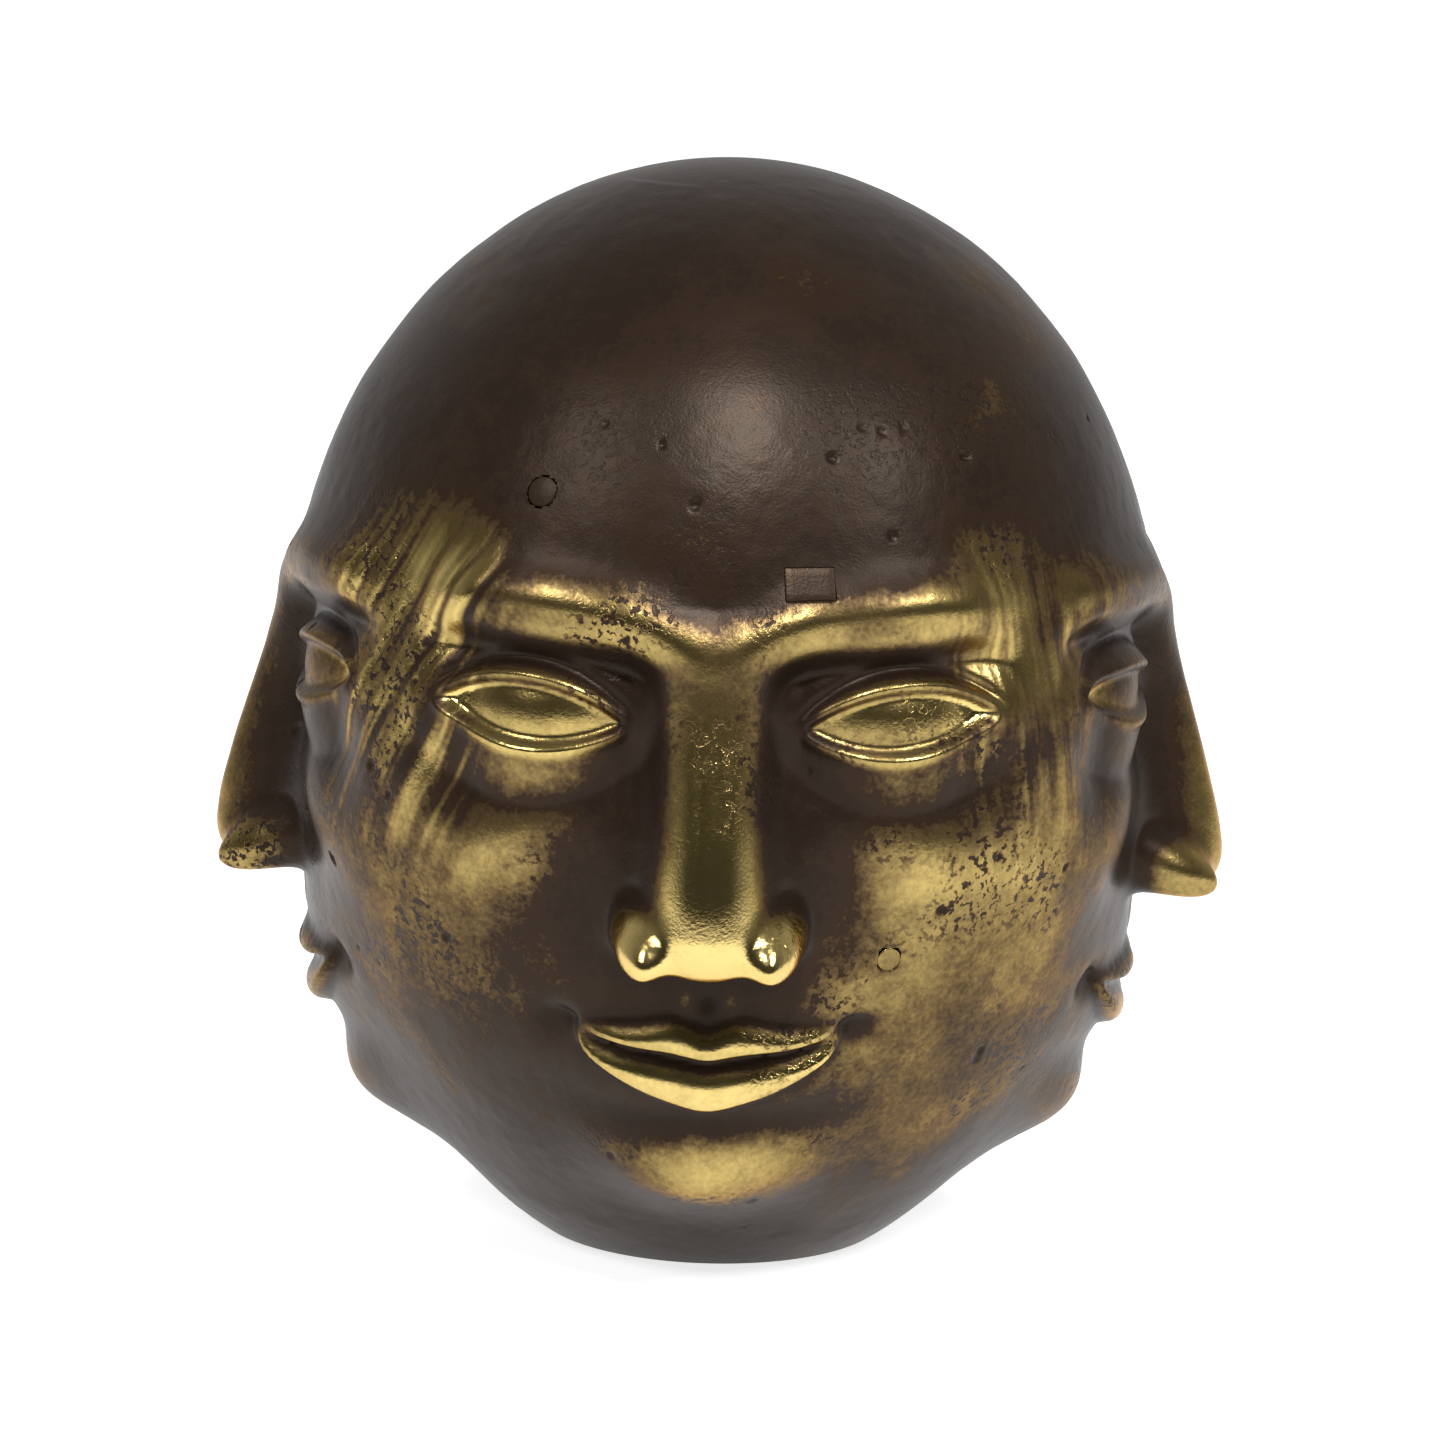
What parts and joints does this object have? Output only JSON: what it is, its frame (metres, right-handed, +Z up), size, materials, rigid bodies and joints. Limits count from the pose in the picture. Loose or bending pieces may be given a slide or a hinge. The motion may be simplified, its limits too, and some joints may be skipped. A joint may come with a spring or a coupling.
{
  "type": "four-faced head paperweight",
  "caption": "Ball-shaped bald brass head with a calm face on every side, made from quarter shells and a domed crown, with a felt pad let into its flat foot.",
  "frame": {"origin": "centre of the felt pad's underside, where the head stands", "axes": "+Z up through the crown; the front face looks along -Y and the right-hand face along +X"},
  "size_m": [0.0564, 0.0564, 0.06],
  "materials": {
    "aged_brass": "cast, dark brown patina in the hollows, rubbed bright on the high places",
    "plug_brass": "filed flush and dulled",
    "braze": "as run",
    "plate_brass": "turned",
    "solder": "dull grey soft solder",
    "felt": "dense wool felt"
  },
  "bodies": {
    "root": {"crown_cap": "aged_brass", "face_front": "aged_brass", "face_right": "aged_brass", "face_back": "aged_brass", "face_left": "aged_brass", "repair_plugs": "plug_brass", "corner_braze": "braze", "crown_braze": "braze", "base_plate": "plate_brass", "base_solder": "solder", "felt_pad": "felt"}
  },
  "joints": []
}
